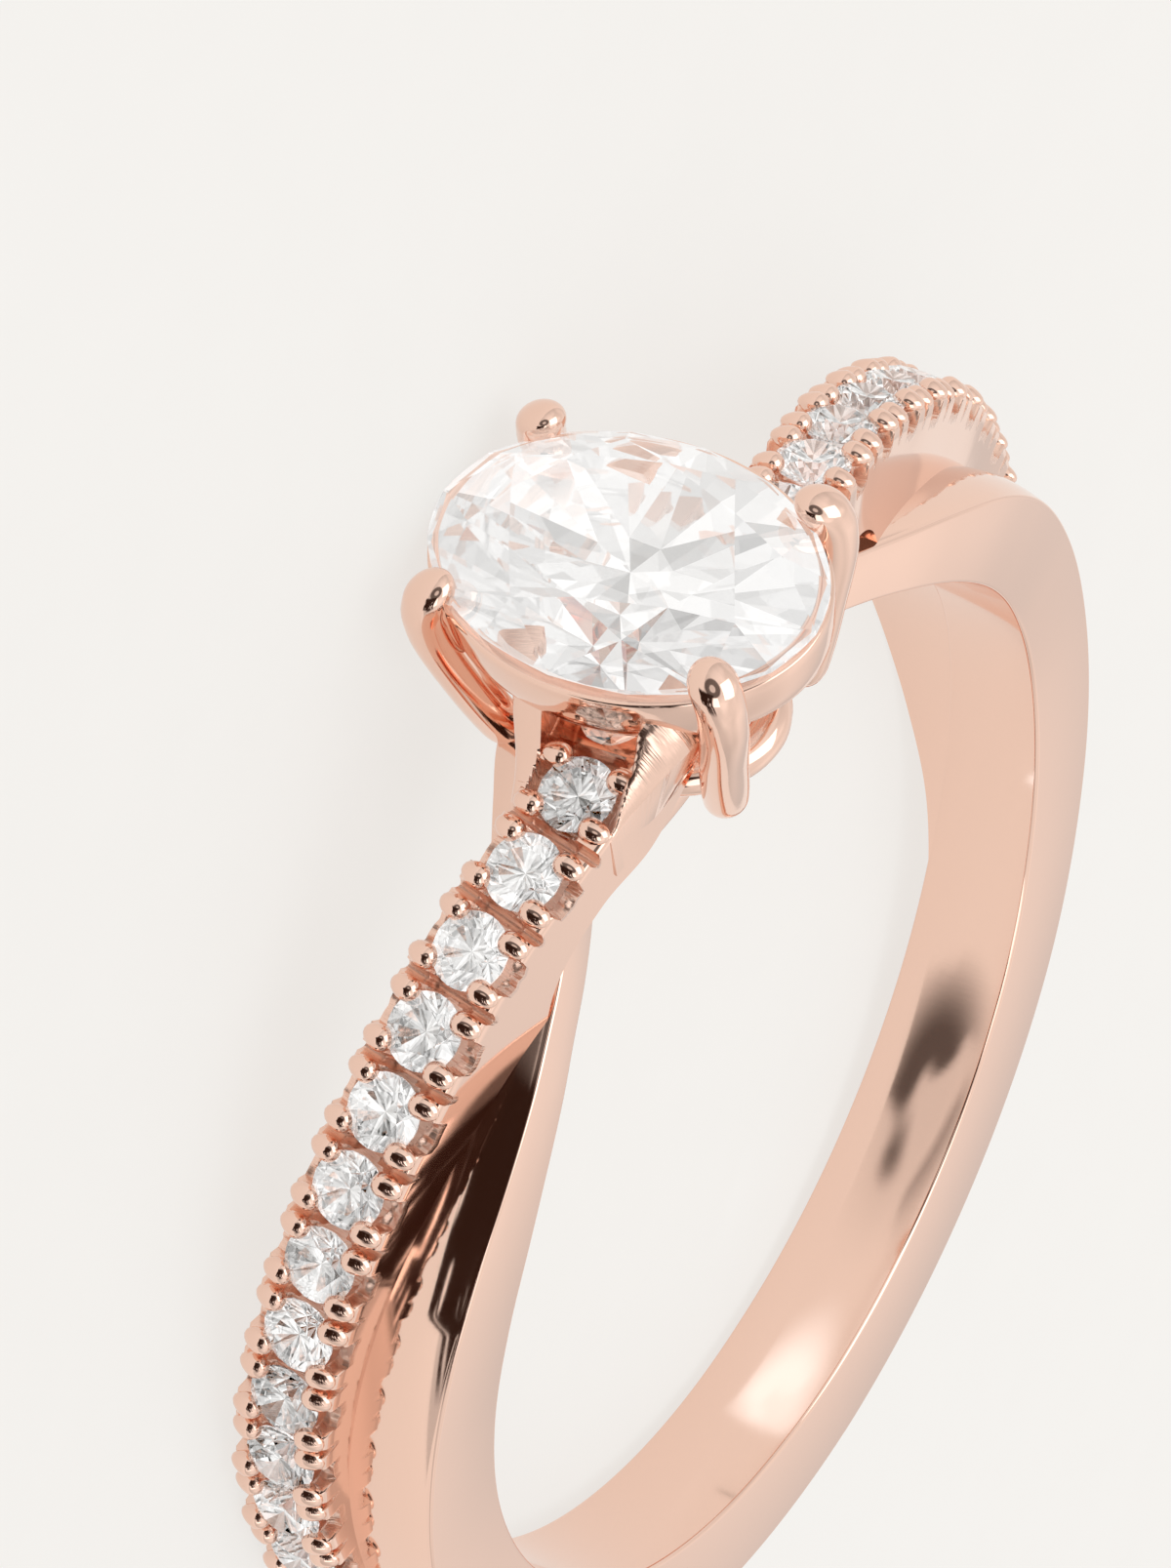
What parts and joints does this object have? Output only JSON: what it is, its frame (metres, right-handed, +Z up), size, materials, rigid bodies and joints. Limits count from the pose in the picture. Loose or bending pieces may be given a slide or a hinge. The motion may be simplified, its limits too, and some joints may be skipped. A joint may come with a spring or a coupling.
{
  "type": "twisted shank ring",
  "caption": "Finger ring: a pave-set strand and a plain strand cross on each arm of the shank, under an oval stone in a pronged basket. It lies on its side.",
  "frame": {"origin": "centre of the bounding box in plan, on the surface that the ring lies on", "axes": "+Z up as the ring lies on its side, +Y from the foot of the shank towards the head, +X towards the far arm"},
  "size_m": [0.0214, 0.0233, 0.006],
  "materials": {
    "rose_gold": "polished",
    "diamond": "faceted, clear"
  },
  "bodies": {
    "root": {"mounting": "rose_gold", "centre_stone": "diamond", "pave_near_01": "diamond", "pave_near_02": "diamond", "pave_near_03": "diamond", "pave_near_04": "diamond", "pave_near_05": "diamond", "pave_near_06": "diamond", "pave_near_07": "diamond", "pave_near_08": "diamond", "pave_near_09": "diamond", "pave_near_10": "diamond", "pave_near_11": "diamond", "pave_near_12": "diamond", "pave_near_13": "diamond", "pave_far_01": "diamond", "pave_far_02": "diamond", "pave_far_03": "diamond", "pave_far_04": "diamond", "pave_far_05": "diamond", "pave_far_06": "diamond", "pave_far_07": "diamond", "pave_far_08": "diamond", "pave_far_09": "diamond", "pave_far_10": "diamond", "pave_far_11": "diamond", "pave_far_12": "diamond", "pave_far_13": "diamond"}
  },
  "joints": []
}
